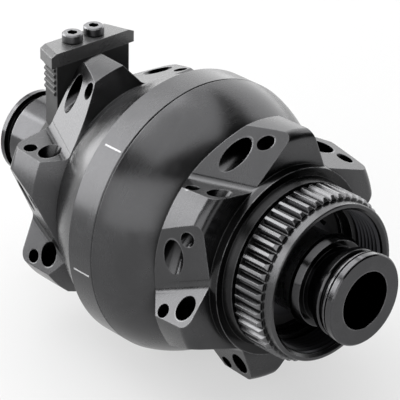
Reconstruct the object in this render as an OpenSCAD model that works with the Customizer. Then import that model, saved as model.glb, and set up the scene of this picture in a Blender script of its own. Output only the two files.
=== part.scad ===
// Front hub dynamo for a 12 mm thru axle, straight-pull spokes and a splined brake rotor.
// The axle runs along Y with the rotor side towards +Y. The origin lies on the axle line,
// midway between the two end faces, and +Z is up, the way the plug housing points.

/* [Axle and ends] */
// Distance between the two end faces that stand in the fork
fork_width = 100; // [98:0.5:110]
// Diameter of the thru axle that passes through
thru_axle_d = 12; // [10:0.5:12.5]
// Play of the thru axle in its bore, on the diameter
thru_axle_play = 0.1; // [0.05:0.05:0.3]
// Inside diameter of the hollow hub axle
axle_bore_d = 13.8; // [13.6:0.1:14.2]
// Outside diameter of the hollow hub axle, also the bore of both bearings
axle_d = 17; // [16.8:0.1:17.4]
// Diameter of the end faces
end_face_d = 19; // [18.5:0.25:20]
// Diameter of the plain stretch of the plug-side end cap
end_body_d = 18.5; // [18:0.25:19]
// Diameter of the neck of the rotor-side end cap
end_neck_d = 15.6; // [15:0.2:16.4]
// Length of the end caps' spigots inside the hub axle
spigot_length = 8; // [5:0.5:10]
// Play of pieces that slide onto one another, on the radius
slide_play = 0.03; // [0.01:0.01:0.06]

/* [Hub shell] */
// Largest diameter of the shell, at the plain band
band_d = 58.6; // [58:0.2:62]
// Distance of the seam between the two shells from the hub's middle
seam_place = 3.3; // [2.8:0.1:3.6]
// Width of the plain band
band_width = 7.5; // [6.5:0.25:8]
// Distance of each waist, between dome and flange, from the hub's middle
waist_place = 15; // [14.5:0.1:15.5]
// Diameter of the shell at each waist
waist_d = 45.6; // [45:0.2:47]
// Rise of the rotor-side dome above a straight cone
dome_crown = 0.95; // [0.6:0.05:1.2]
// Rise of the plug-side cone above a straight cone
cone_crown = 0.45; // [0.3:0.05:0.7]
// Depth of the joint between the two shells
shell_lap = 7.3; // [6:0.1:7.6]
// Wall of the band outside the joint
band_wall = 2.05; // [1.8:0.05:2.3]
// Wall of the spigot inside the joint
lap_wall = 1.7; // [1.4:0.05:1.8]
// Wall of the shells behind the domes
dome_wall = 3.2; // [2.6:0.1:3.6]

/* [Spoke flanges] */
// Number of lugs on each flange, two spokes to a lug
lug_count = 6; // [6:1:6]
// Diameter of both flanges over the lugs
flange_d = 53.4; // [52.4:0.2:55]
// Distance of each flange's outer face from the hub's middle
flange_face = 27.5; // [27.2:0.1:27.8]
// Width of the lands on top of the lugs
land_width = 9; // [8.5:0.1:9.5]
// Radius of the lands' outer shoulder
shoulder_r = 2; // [1.5:0.1:2.5]
// Angle from a lug's middle to the edge of its head facet
head_edge = -2.2; // [-4:0.1:0]
// Angle from a lug's middle to the edge of its exit facet, rotor side
disc_exit_edge = 13.8; // [12:0.1:15]
// Angle from a lug's middle to the edge of its exit facet, plug side
plug_exit_edge = 11; // [9:0.1:15]
// Radius where the two facets of a notch meet
notch_fillet = 2; // [1.5:0.1:2.5]
// Depth below the rim of the spokes that leave through the exit facets
exit_spoke_depth = 3.7; // [3.6:0.05:3.9]
// Depth below the rim of the spokes that leave through the head facets
head_spoke_depth = 3.25; // [3.1:0.05:3.4]
// Diameter of the spoke exit holes
spoke_hole_d = 2.8; // [2.5:0.1:2.9]
// Diameter of the bores that take the spoke heads
head_hole_d = 4.3; // [3.9:0.1:4.5]
// Distance of the inner row of spokes from the hub's middle
inner_row = 20.1; // [20:0.1:20.3]
// Distance of the outer row of spokes from the hub's middle
outer_row = 24.4; // [24.2:0.1:24.6]

/* [Rotor mount] */
// Number of spline teeth
spline_count = 52; // [40:1:56]
// Diameter over the spline teeth
spline_d = 35.1; // [34.8:0.1:35.4]
// Depth of the spline teeth
spline_depth = 1; // [0.8:0.05:1.1]
// Length of the spline teeth
spline_length = 6.5; // [6:0.1:7]
// Distance of the spline's outer end from the hub's middle
spline_end = 38.6; // [38.2:0.1:39]
// Length of the rim beyond the spline
rim_length = 2.3; // [2:0.1:2.6]
// Diameter of the rim
rim_d = 32.8; // [32.4:0.1:33]
// Nominal diameter of the lockring thread
lockring_d = 30; // [29.5:0.1:30.4]
// Length of the lockring thread
lockring_length = 8; // [7:0.25:8.5]

/* [Bearings] */
// Outside diameter of the bearings
bearing_d = 26; // [25.6:0.1:26.4]
// Width of the bearings
bearing_width = 5; // [4.8:0.1:5.2]
// Ball diameter
ball_d = 2.8; // [2.6:0.05:2.9]
// Number of balls in each bearing
ball_count = 13; // [9:1:13]
// Distance of the rotor-side bearing's inner end from the hub's middle
disc_bearing_place = 22; // [21.8:0.1:22.2]
// Distance of the plug-side bearing's inner end from the hub's middle
plug_bearing_place = 21.5; // [21.3:0.1:21.7]

/* [Generator] */
// Number of magnetic poles, half of them on each claw plate
pole_count = 28; // [20:2:32]
// Length of the magnets and of the claw-pole stator
stator_length = 15; // [14:0.25:15.2]
// Distance of the stator's middle from the hub's middle, towards the rotor
stator_place = 0.5; // [0.3:0.1:0.7]
// Gap between magnets and claws
air_gap = 0.45; // [0.4:0.05:0.8]
// Thickness of the iron ring behind the magnets, as a share of the pole pitch whose flux it carries
flux_ring_share = 0.33; // [0.28:0.01:0.36]
// Thickness of the magnets, as a share of the pole pitch
magnet_share = 0.33; // [0.28:0.01:0.36]
// Thickness of the claw plates and claws, as a share of the pole pitch
claw_share = 0.26; // [0.21:0.01:0.29]
// Wall of the stator's core sleeve
core_wall = 2; // [1.6:0.05:2.4]
// Wall of the coil bobbin
bobbin_wall = 0.9; // [0.7:0.05:1.1]

/* [Plug housing] */
// Distance of the housing's inner face from the hub's middle
plug_place = 30; // [29.9:0.1:30.4]
// Thickness of the housing along the axle
plug_thickness = 6; // [5.6:0.1:6.4]
// Width of the housing at its inner face
plug_width = 19.6; // [18.5:0.1:21]
// Height of the housing above the axle line
plug_height = 24.5; // [23.5:0.25:25.5]
// Inward lean of the housing's narrow sides, towards its outer face
plug_taper = 17; // [12:0.5:20]
// Outside diameter of the housing's ring round the axle
plug_ring_d = 25; // [24:0.25:26]
// Thickness of the lid on top of the housing
lid_thickness = 3; // [2.6:0.1:3.4]
// Overhang of the lid past the housing's sides
lid_overhang = 1.4; // [1.1:0.1:1.7]
// Distance between the two lid screws
screw_spacing = 5.8; // [5.6:0.1:6.2]
// Thread diameter of the lid screws
screw_d = 2.5; // [2.3:0.1:2.6]
// Head diameter of the lid screws
screw_head_d = 4.4; // [4.2:0.1:4.6]
// Head height of the lid screws
screw_head_h = 2; // [1.8:0.1:2.4]
// Diameter of each lead wire
wire_d = 0.8; // [0.6:0.05:0.9]
// Diameter of the two inlets for the lamp cable's cores
inlet_d = 2.6; // [2.2:0.1:2.8]

/* [Hidden] */
// Facets of drawn circles
$fn = 96;
// Extra length of cutting shapes past the faces they cut
over = 1;
// Reach of the half spaces that cut the notches
reach = 70;
// Depth of the notch fillet's cutter below both facets
fillet_dip = 0.03;

// Ends and axle
end_place = fork_width / 2;
bore_r = (thru_axle_d + thru_axle_play) / 2;
axle_r = axle_d / 2;
on_axle_r = axle_r + slide_play;
spigot_r = axle_bore_d / 2 - slide_play;
plug_outer_place = plug_place + plug_thickness;
axle_disc_end = 39;
axle_plug_end = plug_outer_place;
end_chamfer = 0.3;
disc_groove_edges = [1.5, 1.95, 2.4, 3.7, 5.6];
plug_groove_edges = [1.4, 3.1];
end_groove_depth = 1.2;
end_flange_width = 2;

// Shells: radii, and places along the axle counted outward from the hub's middle
band_r = band_d / 2;
waist_r = waist_d / 2;
lap_r = band_r - band_wall;
lap_play = slide_play;
rotor_bore_r = lap_r - lap_play - lap_wall;
lap_end = shell_lap - seam_place;
gasket_thickness = 0.6;
band_outer_edge = band_width - seam_place;
band_chamfer = 0.8;
seam_chamfer = 0.25;
land_place = flange_face - land_width;
web_r = 15;
nose_r = 19.8;
nose_place = flange_face + 1.9;
seat_r = 17.4;
seat_place = nose_place + 1.7;
spline_r = spline_d / 2;
spline_root_r = spline_r - spline_depth;
spline_start = spline_end - spline_length;
rim_end = spline_end + rim_length;
rim_r = rim_d / 2;
lockring_r = lockring_d / 2;
lockring_chamfer = 0.65;
lockring_start = rim_end - lockring_length;
cavity_r = lockring_r - 1;
cavity_floor = nose_place + 1;
seal_seat_r = bearing_d / 2 + 0.6;
bearing_r = bearing_d / 2;
bearing_stop_r = bearing_r - 1.6;
web_inner = 3.5;
boss_r = 16.5;
boss_height = 0.8;

// Notches between the lugs, and the spoke holes through the lugs
flange_r = flange_d / 2;
land_middle = flange_face - land_width + 3.5;
head_turn = -41;
head_tip = 17;
exit_turn = 67.5;
exit_tip = -3;
disc_flange_turn = -1;
plug_flange_turn = 14.5;
lug_pitch = 360 / lug_count;
exit_spoke_swing = 9.8;
exit_spoke_lean = 1.9;
head_spoke_swing = 12.4;
head_spoke_lean = 4.4;
spoke_seat = 3;
head_reach = 9;
exit_reach = 16;

// Generator
stator_disc_end = stator_place + stator_length / 2;
stator_plug_end = stator_place - stator_length / 2;
pole_pitch = 2 * PI * rotor_bore_r / pole_count;
magnet_thickness = magnet_share * pole_pitch;
claw_thickness = claw_share * pole_pitch;
magnet_outer_r = rotor_bore_r - slide_play - flux_ring_share * pole_pitch;
magnet_inner_r = magnet_outer_r - magnet_thickness;
claw_r = magnet_inner_r - air_gap;
claw_pitch = 720 / pole_count;
claw_root_share = 0.37;
claw_tip_share = 0.24;
plate_r = claw_r - claw_thickness - 0.9;
core_r = on_axle_r + core_wall;
bobbin_r = core_r + slide_play;
bobbin_rim_r = plate_r - 0.2;
bobbin_start = stator_plug_end + claw_thickness;
bobbin_end = stator_disc_end - claw_thickness;
winding_r = bobbin_rim_r - 0.4;
magnet_gap_angle = 0.8;
spacer_r = axle_r + 1.5;

// Bearings
ball_circle_r = (axle_r + bearing_r) / 2;
ball_play = 0.06;
race_wall = (bearing_r - axle_r - ball_d) / 2 + 0.3 * ball_d;
cage_play = 0.12;
cage_wall = bearing_r - axle_r - 2 * race_wall - 2 * cage_play;
cage_width = ball_d + 0.7;
shield_thickness = 0.3;
shield_inset = 0.15;
shield_play = 0.15;
nut_r = 10.6;
nut_slots = 4;
disc_nut_length = 4;
plug_nut_length = plug_place - plug_bearing_place - bearing_width;
seal_lip_play = 0.35;
disc_seal_thickness = 2.4;

// Plug housing, its lid and what is inside
lid_length = plug_thickness - 0.1;
lid_end_run = 1.3;
lid_end_drop = 0.6;
screw_place = plug_place + plug_thickness * 0.54;
socket_af = 2;
socket_depth = 1.2;
pocket_wall = 1.4;
pocket_floor = 13;
block_gap = 1.2;
block_height = 9;
block_width = screw_spacing - block_gap;
block_play = 0.1;
inlet_height = pocket_floor + 4.5;
screw_reach = plug_height - inlet_height - inlet_d / 2 - 0.2;
screw_play = 0.05;
rib_count = 5;
rib_pitch = 1.33;
rib_r = 0.48;
rib_rise = 0.4;
rib_start = 0.9;
wire_spread = block_gap / 2 + wire_d / 2 + 0.05;
wire_r = axle_r - wire_d / 2 - 0.15;
slot_width = 2 * wire_spread + wire_d + 0.3;
slot_depth = wire_d + 0.3;
slot_start = stator_place + 0.7;
coil_entry_r = bobbin_r + bobbin_wall;

// Unit normal of a facet, from its turn round the axle and its tip towards the outer side
function facet_normal(turn, tip) = [cos(tip) * cos(turn), cos(tip) * sin(turn), sin(tip)];

// Turn that brings Z onto a direction
function aim(v) = [0, acos(v.z / norm(v)), atan2(v.y, v.x)];

// Point shared by two planes, nearest the origin
function shared_point(n1, d1, n2, d2) =
    let (v = cross(n1, n2)) (d1 * cross(n2, v) + d2 * cross(v, n1)) / (v * v);

// Local Z runs outward along the axle, on the rotor side or on the plug side
module disc_side() rotate([-90, 0, 0]) children();
module plug_side() mirror([0, 1, 0]) disc_side() children();

// Ring round the axle between two places
module ring(r_in, r_out, from, to) {
    translate([0, 0, from])
        difference() {
            cylinder(r = r_out, h = to - from);
            translate([0, 0, -over]) cylinder(r = r_in, h = to - from + 2 * over);
        }
}

// All space on the far side of a plane
module half_space(normal, distance) {
    rotate(aim(normal))
        translate([-reach / 2, -reach / 2, distance])
            cube(reach);
}

// Round segment between two profile points, bulging outward by its rise
module crown(a, b, rise) {
    chord = norm(b - a);
    out = [b.y - a.y, a.x - b.x] / chord;
    r = (chord * chord / 4 + rise * rise) / (2 * rise);
    intersection() {
        translate((a + b) / 2 - out * (r - rise)) circle(r);
        polygon([a, (a + b) / 2 - out, b, b + out * rise * 2, a + out * rise * 2]);
    }
}

// Flange section from the waist to its outer face
module flange_section() {
    polygon([
        [bearing_stop_r, waist_place], [waist_r, waist_place], [flange_r, land_place],
        [flange_r, flange_face - shoulder_r], [flange_r - shoulder_r, flange_face],
        [bearing_stop_r, flange_face]
    ]);
    translate([flange_r - shoulder_r, flange_face - shoulder_r]) circle(shoulder_r);
}

// Distance from the origin of a facet that meets the rim at an edge, halfway along the land
function facet_distance(edge, turn, tip) =
    flange_r * cos(edge - turn) * cos(tip) + land_middle * sin(tip);

// Notch between two lugs: the head facet of one lug and the exit facet of the other, and a fillet
module notch(exit_edge) {
    half_pitch = lug_pitch / 2;
    head_facet = facet_normal(-half_pitch - head_turn, head_tip);
    exit_facet = facet_normal(half_pitch - exit_turn, exit_tip);
    head = facet_distance(head_edge, head_turn, head_tip);
    exit = facet_distance(exit_edge, exit_turn, exit_tip);
    lift = notch_fillet - fillet_dip;
    middle = shared_point(head_facet, head + lift, exit_facet, exit + lift);
    split = (head_facet + exit_facet) / norm(head_facet + exit_facet);
    intersection() {
        union() {
            intersection() {
                half_space(head_facet, head);
                half_space(exit_facet, exit);
                half_space(split, split * middle - notch_fillet * (split * head_facet));
            }
            translate(middle)
                rotate(aim(cross(exit_facet, head_facet)))
                    cylinder(r = notch_fillet, h = reach, center = true);
        }
        translate([-reach / 2, -reach / 2, waist_place]) cube(reach);
    }
}

// Spoke hole with its head bore; side says which way the spoke leaves the lug
module spoke_hole(side, row, depth, swing, lean) {
    rotate([0, 0, -side * swing])
        translate([flange_r - depth, 0, row])
            rotate([-side * (90 + lean), 0, 0]) {
                cylinder(d = spoke_hole_d, h = exit_reach);
                translate([0, 0, -head_reach]) cylinder(d = head_hole_d, h = head_reach + spoke_seat);
            }
}

// Everything cut from a flange
module flange_cuts(turn, exit_edge, exit_row, head_row) {
    for (i = [0:lug_count - 1])
        rotate([0, 0, turn + i * lug_pitch]) {
            notch(exit_edge);
            rotate([0, 0, lug_pitch / 2]) {
                spoke_hole(-1, exit_row, exit_spoke_depth, exit_spoke_swing, exit_spoke_lean);
                spoke_hole(1, head_row, head_spoke_depth, head_spoke_swing, head_spoke_lean);
            }
        }
}

// Spline teeth of the rotor mount, with bevelled ends
module spline_teeth() {
    tooth = 360 / spline_count;
    root = spline_root_r * sin(tooth * 0.43);
    crest = spline_r * sin(tooth * 0.13);
    bevel = spline_depth * 0.6;
    intersection() {
        translate([0, 0, spline_start])
            linear_extrude(spline_length)
                for (i = [0:spline_count - 1])
                    rotate([0, 0, i * tooth])
                        polygon([
                            [spline_root_r - over, -root], [spline_root_r, -root],
                            [spline_r + 0.1, -crest], [spline_r + 0.1, crest],
                            [spline_root_r, root], [spline_root_r - over, root]
                        ]);
        rotate_extrude()
            polygon([
                [spline_root_r - 0.5, spline_start], [spline_r, spline_start],
                [spline_r, spline_end - bevel], [spline_r - bevel, spline_end],
                [spline_root_r - 0.5, spline_end]
            ]);
    }
}

// Shells

module disc_side_shell() {
    color("#2e2f31")
        disc_side()
            difference() {
                union() {
                    difference() {
                        rotate_extrude() disc_shell_outside();
                        flange_cuts(disc_flange_turn, disc_exit_edge, inner_row, outer_row);
                    }
                    rotate_extrude() nose_section();
                    spline_teeth();
                }
                rotate_extrude() disc_shell_inside();
            }
}

module disc_shell_outside() {
    brow = [band_r, seam_place + seam_chamfer];
    waist = [waist_r, waist_place];
    polygon([
        [web_r, -lap_end], [lap_r - lap_play, -lap_end], [lap_r - lap_play, seam_place],
        [band_r - seam_chamfer, seam_place], brow, waist, [web_r, waist_place]
    ]);
    crown(brow, waist, dome_crown);
    flange_section();
}

// Nose outside the flange: a stepped ring, the core of the spline and the rim
module nose_section() {
    start = flange_face - 0.4;
    polygon([
        [bearing_stop_r, start], [nose_r + 0.1, start],
        [nose_r, nose_place], [seat_r + 0.6, nose_place - 0.3], [seat_r, seat_place],
        [spline_root_r, seat_place + 0.2], [spline_root_r, spline_end], [rim_r, spline_end],
        [rim_r, rim_end - 0.2], [rim_r - 0.2, rim_end], [bearing_stop_r, rim_end]
    ]);
}

module disc_shell_inside() {
    stop = stator_disc_end + 0.3;
    polygon([
        [0, -lap_end - over], [rotor_bore_r, -lap_end - over], [rotor_bore_r, stop],
        [waist_r - dome_wall + 1, stop + 1], [web_r, disc_bearing_place - web_inner],
        [bearing_stop_r, disc_bearing_place - web_inner], [bearing_stop_r, disc_bearing_place],
        [bearing_r, disc_bearing_place], [bearing_r, disc_bearing_place + bearing_width],
        [seal_seat_r, disc_bearing_place + bearing_width], [seal_seat_r, cavity_floor],
        [cavity_r, cavity_floor], [cavity_r, lockring_start], [lockring_r, lockring_start + 0.5],
        [lockring_r, rim_end - lockring_chamfer], [lockring_r + lockring_chamfer, rim_end],
        [lockring_r + lockring_chamfer, rim_end + over], [0, rim_end + over]
    ]);
}

module plug_side_shell() {
    color("#37383a")
        plug_side()
            difference() {
                rotate_extrude() plug_shell_outside();
                flange_cuts(plug_flange_turn, plug_exit_edge, outer_row, inner_row);
                rotate_extrude() plug_shell_inside();
            }
}

module plug_shell_outside() {
    shoulder = [band_r - band_chamfer, band_outer_edge];
    waist = [waist_r, waist_place];
    polygon([
        [web_r, -seam_place], [band_r - seam_chamfer, -seam_place],
        [band_r, -seam_place + seam_chamfer],
        [band_r, band_outer_edge - band_chamfer], shoulder, waist, [web_r, waist_place]
    ]);
    crown(shoulder, waist, cone_crown);
    flange_section();
    polygon([
        [bearing_stop_r, waist_place], [boss_r, waist_place], [boss_r, flange_face + boss_height],
        [bearing_stop_r, flange_face + boss_height]
    ]);
}

module plug_shell_inside() {
    stop = -stator_plug_end + 0.3;
    end = flange_face + boss_height + over;
    polygon([
        [0, -seam_place - over], [lap_r, -seam_place - over], [lap_r, lap_end + gasket_thickness],
        [rotor_bore_r, lap_end + gasket_thickness], [rotor_bore_r, stop],
        [waist_r - dome_wall + 1, stop + 1], [web_r, plug_bearing_place - web_inner],
        [bearing_stop_r, plug_bearing_place - web_inner], [bearing_stop_r, plug_bearing_place],
        [bearing_r, plug_bearing_place], [bearing_r, plug_bearing_place + bearing_width],
        [seal_seat_r, plug_bearing_place + bearing_width], [seal_seat_r, end], [0, end]
    ]);
}

module shell_gasket() {
    color("#1b1b1b")
        plug_side() ring(rotor_bore_r, lap_r - lap_play, lap_end, lap_end + gasket_thickness);
}

module disc_seal() {
    start = disc_bearing_place + bearing_width;
    color("#161616")
        disc_side() ring(nut_r + seal_lip_play, seal_seat_r, start, start + disc_seal_thickness);
}

module plug_seal() {
    start = plug_bearing_place + bearing_width;
    color("#161616")
        plug_side() ring(nut_r + seal_lip_play, seal_seat_r, start, flange_face + boss_height);
}

// Axle, spacers, nuts and end caps

module axle() {
    color("#8d8f92")
        difference() {
            union() {
                disc_side() ring(axle_bore_d / 2, axle_r, 0, axle_disc_end);
                plug_side() ring(axle_bore_d / 2, axle_r, 0, axle_plug_end);
            }
            wire_slot();
        }
}

// Slot on top of the axle, which takes the leads from the coil out to the plug housing
module wire_slot() {
    slot_end = screw_place + wire_d + 0.3;
    translate([-slot_width / 2, -slot_end, axle_r - slot_depth])
        cube([slot_width, slot_end + slot_start, slot_depth + over]);
}

module disc_end_cap() {
    g = [for (e = disc_groove_edges) end_place - e];
    face_r = end_face_d / 2;
    neck_r = end_neck_d / 2;
    color("#26272a")
        disc_side() rotate_extrude() polygon([
            [bore_r, axle_disc_end - spigot_length], [spigot_r, axle_disc_end - spigot_length],
            [spigot_r, axle_disc_end], [face_r + 0.2, axle_disc_end],
            [face_r + 0.2, axle_disc_end + 0.7], [face_r - 0.5, axle_disc_end + end_flange_width],
            [neck_r, axle_disc_end + end_flange_width], [neck_r, g[4]],
            [face_r - 0.8, g[4]], [face_r - 0.4, g[4] + 0.4], [face_r - 0.4, g[3] - 0.3],
            [face_r - 0.7, g[3]], [face_r - end_groove_depth, g[3]], [face_r - end_groove_depth, g[2]],
            [face_r - 0.15, g[2]], [face_r - 0.15, g[1]], [face_r - 0.6, g[1]], [face_r - 0.6, g[0]],
            [face_r, g[0]], [face_r, end_place - end_chamfer], [face_r - end_chamfer, end_place],
            [bore_r, end_place]
        ]);
}

module plug_end_cap() {
    g = [for (e = plug_groove_edges) end_place - e];
    face_r = end_face_d / 2;
    body_r = end_body_d / 2;
    color("#26272a")
        plug_side() rotate_extrude() polygon([
            [bore_r, axle_plug_end - spigot_length], [spigot_r, axle_plug_end - spigot_length],
            [spigot_r, axle_plug_end], [body_r, axle_plug_end], [body_r, g[1]],
            [face_r - end_groove_depth, g[1]], [face_r - end_groove_depth, g[0]], [face_r, g[0]],
            [face_r, end_place - end_chamfer], [face_r - end_chamfer, end_place],
            [bore_r, end_place]
        ]);
}

module disc_spacer() {
    color("#b5b7ba")
        disc_side() ring(on_axle_r, spacer_r, stator_disc_end, disc_bearing_place);
}

module plug_spacer() {
    color("#b5b7ba")
        plug_side() ring(on_axle_r, spacer_r, -stator_plug_end, plug_bearing_place);
}

// Round nut with spanner slots
module lock_nut(from, length) {
    slot = [nut_r, 2.2, 1.6];
    difference() {
        ring(on_axle_r, nut_r, from, from + length);
        for (i = [0:nut_slots - 1])
            rotate([0, 0, 45 + i * 360 / nut_slots])
                translate([nut_r - 0.9, -slot.y / 2, from + length - slot.z])
                    cube([slot.x, slot.y, slot.z + over]);
    }
}

module disc_lock_nut() {
    color("#3b3c3f") disc_side() lock_nut(disc_bearing_place + bearing_width, disc_nut_length);
}

module plug_lock_nut() {
    color("#3b3c3f") plug_side() lock_nut(plug_bearing_place + bearing_width, plug_nut_length);
}

// Bearings, drawn outward from their inner end

module bearing_inner_race(from) {
    middle = from + bearing_width / 2;
    color("#c9ccd0")
        rotate_extrude() difference() {
            translate([on_axle_r, from]) square([race_wall - slide_play, bearing_width]);
            translate([ball_circle_r, middle]) circle(ball_d / 2 + ball_play);
        }
}

module bearing_outer_race(from) {
    middle = from + bearing_width / 2;
    color("#c9ccd0")
        rotate_extrude() difference() {
            translate([bearing_r - race_wall, from]) square([race_wall, bearing_width]);
            translate([ball_circle_r, middle]) circle(ball_d / 2 + ball_play);
        }
}

module bearing_balls(from) {
    color("#dfe2e6")
        for (i = [0:ball_count - 1])
            rotate([0, 0, i * 360 / ball_count])
                translate([ball_circle_r, 0, from + bearing_width / 2])
                    sphere(d = ball_d);
}

module bearing_cage(from) {
    middle = from + bearing_width / 2;
    color("#b98d4a")
        difference() {
            ring(ball_circle_r - cage_wall / 2, ball_circle_r + cage_wall / 2,
                middle - cage_width / 2, middle + cage_width / 2);
            for (i = [0:ball_count - 1])
                rotate([0, 0, i * 360 / ball_count])
                    translate([ball_circle_r - over, 0, middle])
                        rotate([0, 90, 0])
                            cylinder(d = ball_d + 2 * ball_play, h = 2 * over);
        }
}

module bearing_shields(from) {
    inner = axle_r + race_wall + shield_play;
    outer = bearing_r - race_wall;
    color("#2a2a2a")
        for (start = [from + shield_inset, from + bearing_width - shield_inset - shield_thickness])
            ring(inner, outer, start, start + shield_thickness);
}

module disc_bearing_inner_race() disc_side() bearing_inner_race(disc_bearing_place);
module disc_bearing_outer_race() disc_side() bearing_outer_race(disc_bearing_place);
module disc_bearing_balls() disc_side() bearing_balls(disc_bearing_place);
module disc_bearing_cage() disc_side() bearing_cage(disc_bearing_place);
module disc_bearing_shields() disc_side() bearing_shields(disc_bearing_place);
module plug_bearing_inner_race() plug_side() bearing_inner_race(plug_bearing_place);
module plug_bearing_outer_race() plug_side() bearing_outer_race(plug_bearing_place);
module plug_bearing_balls() plug_side() bearing_balls(plug_bearing_place);
module plug_bearing_cage() plug_side() bearing_cage(plug_bearing_place);
module plug_bearing_shields() plug_side() bearing_shields(plug_bearing_place);

// Generator

module flux_ring() {
    color("#5d6064")
        disc_side()
            ring(magnet_outer_r, rotor_bore_r - slide_play, stator_plug_end, stator_disc_end);
}

module magnets() {
    step = 360 / pole_count;
    color("#4a4644")
        disc_side()
            for (i = [0:pole_count - 1])
                rotate([0, 0, i * step])
                    translate([0, 0, stator_plug_end])
                        rotate_extrude(angle = step - magnet_gap_angle)
                            translate([magnet_inner_r, 0])
                                square([magnet_thickness - slide_play, stator_length]);
}

// Claw plate: a disc on the core with tapering claws that reach over the coil
module claw_plate() {
    root = 2 * PI * claw_r / pole_count * 2 * claw_root_share;
    tip = 2 * PI * claw_r / pole_count * 2 * claw_tip_share;
    length = stator_length - 0.5;
    ring(on_axle_r, plate_r, 0, claw_thickness);
    for (i = [0:pole_count / 2 - 1])
        rotate([0, 0, i * claw_pitch])
            intersection() {
                union() {
                    ring(claw_r - claw_thickness, claw_r, 0, length);
                    ring(plate_r - over, claw_r, 0, claw_thickness);
                }
                rotate([90, 0, 90])
                    linear_extrude(claw_r + over)
                        polygon([[-root / 2, 0], [root / 2, 0], [tip / 2, length], [-tip / 2, length]]);
            }
}

module plug_claw_plate() {
    color("#6b6e72")
        disc_side() translate([0, 0, stator_plug_end]) claw_plate();
}

module disc_claw_plate() {
    color("#6b6e72")
        disc_side()
            translate([0, 0, stator_disc_end])
                mirror([0, 0, 1])
                    rotate([0, 0, claw_pitch / 2])
                        claw_plate();
}

// Opening in the core and the bobbin where the leads reach the winding
module lead_opening() {
    translate([-slot_width / 2, stator_place - 0.7, 0])
        cube([slot_width, 1.4, coil_entry_r + 0.05]);
}

module stator_core() {
    color("#7a7d81")
        difference() {
            disc_side() ring(on_axle_r, core_r, bobbin_start, bobbin_end);
            lead_opening();
        }
}

module coil_bobbin() {
    color("#d8d2c0")
        difference() {
            disc_side() {
                ring(bobbin_r, bobbin_r + bobbin_wall, bobbin_start, bobbin_end);
                ring(bobbin_r, bobbin_rim_r, bobbin_start, bobbin_start + bobbin_wall);
                ring(bobbin_r, bobbin_rim_r, bobbin_end - bobbin_wall, bobbin_end);
            }
            lead_opening();
        }
}

module coil_winding() {
    color("#b8672c")
        disc_side()
            ring(bobbin_r + bobbin_wall + 0.1, winding_r,
                bobbin_start + bobbin_wall, bobbin_end - bobbin_wall);
}

module lead_wires() {
    color("#a33b2a")
        for (x = [-wire_spread, wire_spread])
            translate([x, 0, 0]) {
                translate([0, stator_place, wire_r]) cylinder(d = wire_d, h = coil_entry_r - wire_r);
                translate([0, stator_place, wire_r]) sphere(d = wire_d);
                translate([0, stator_place, wire_r])
                    rotate([90, 0, 0]) cylinder(d = wire_d, h = screw_place + stator_place);
                translate([0, -screw_place, wire_r]) sphere(d = wire_d);
                translate([0, -screw_place, wire_r]) cylinder(d = wire_d, h = pocket_floor - wire_r);
            }
}

// Plug housing

// Plan of the housing or its lid, wider at the inner face by the overhang
module plug_plan(overhang, depth) {
    half = plug_width / 2 + overhang;
    drop = depth * tan(plug_taper);
    polygon([
        [half, -plug_place], [half - drop, -plug_place - depth],
        [drop - half, -plug_place - depth], [-half, -plug_place]
    ]);
}

// Half-round grip ribs on one narrow side of the housing
module grip_ribs() {
    side = plug_thickness / cos(plug_taper);
    for (i = [0:rib_count - 1])
        translate([plug_width / 2, -plug_place, plug_height - (i + 0.8) * rib_pitch])
            rotate([0, 0, -plug_taper])
                rotate([90, 0, 0])
                    translate([rib_rise - rib_r, 0, rib_start])
                        cylinder(r = rib_r, h = side);
}

module plug_housing() {
    pocket = [2 * screw_spacing - block_gap + 0.4, plug_thickness - 2 * pocket_wall];
    color("#232325")
        difference() {
            union() {
                plug_side() cylinder(d = plug_ring_d, h = plug_outer_place);
                linear_extrude(plug_height) plug_plan(0, plug_thickness);
                intersection() {
                    union() {
                        grip_ribs();
                        mirror([1, 0, 0]) grip_ribs();
                    }
                    translate([-plug_width, -plug_outer_place, 0])
                        cube([2 * plug_width, plug_thickness, plug_height]);
                }
            }
            plug_side() translate([0, 0, -over]) cylinder(d = plug_ring_d + over, h = plug_place + over);
            plug_side() cylinder(r = on_axle_r, h = plug_outer_place + over);
            translate([-pocket.x / 2, -screw_place - pocket.y / 2, pocket_floor])
                cube([pocket.x, pocket.y, plug_height]);
            translate([-slot_width / 2, -screw_place - wire_d, 0])
                cube([slot_width, 2 * wire_d, pocket_floor + over]);
            for (side = [-1, 1])
                translate([side * screw_spacing / 2, -screw_place, inlet_height])
                    rotate([90, 0, 0]) cylinder(d = inlet_d, h = plug_thickness);
        }
}

module plug_lid() {
    top = plug_height + lid_thickness;
    half = plug_width / 2 + lid_overhang;
    slope = atan2(lid_end_drop, lid_end_run);
    color("#2b2b2e")
        difference() {
            translate([0, 0, plug_height])
                linear_extrude(lid_thickness) plug_plan(lid_overhang, lid_length);
            for (side = [-1, 1]) {
                translate([side * half, -plug_place, top - lid_end_drop])
                    rotate([0, side * slope, -side * plug_taper])
                        translate([-reach / 2, -reach / 2, 0])
                            cube(reach);
                translate([side * screw_spacing / 2, -screw_place, plug_height - over])
                    cylinder(d = screw_d + 2 * screw_play, h = lid_thickness + 2 * over);
            }
        }
}

module lid_screws() {
    top = plug_height + lid_thickness;
    color("#3a3a3c")
        for (side = [-1, 1])
            translate([side * screw_spacing / 2, -screw_place, top])
                difference() {
                    union() {
                        translate([0, 0, -lid_thickness - screw_reach])
                            cylinder(d = screw_d, h = lid_thickness + screw_reach + over);
                        rotate_extrude() polygon([
                            [0, 0], [screw_head_d / 2 - 0.2, 0], [screw_head_d / 2, 0.3],
                            [screw_head_d / 2, screw_head_h - 0.3],
                            [screw_head_d / 2 - 0.3, screw_head_h], [0, screw_head_h]
                        ]);
                    }
                    translate([0, 0, screw_head_h - socket_depth])
                        cylinder(d = socket_af / cos(30), h = socket_depth + over, $fn = 6);
                }
}

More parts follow.
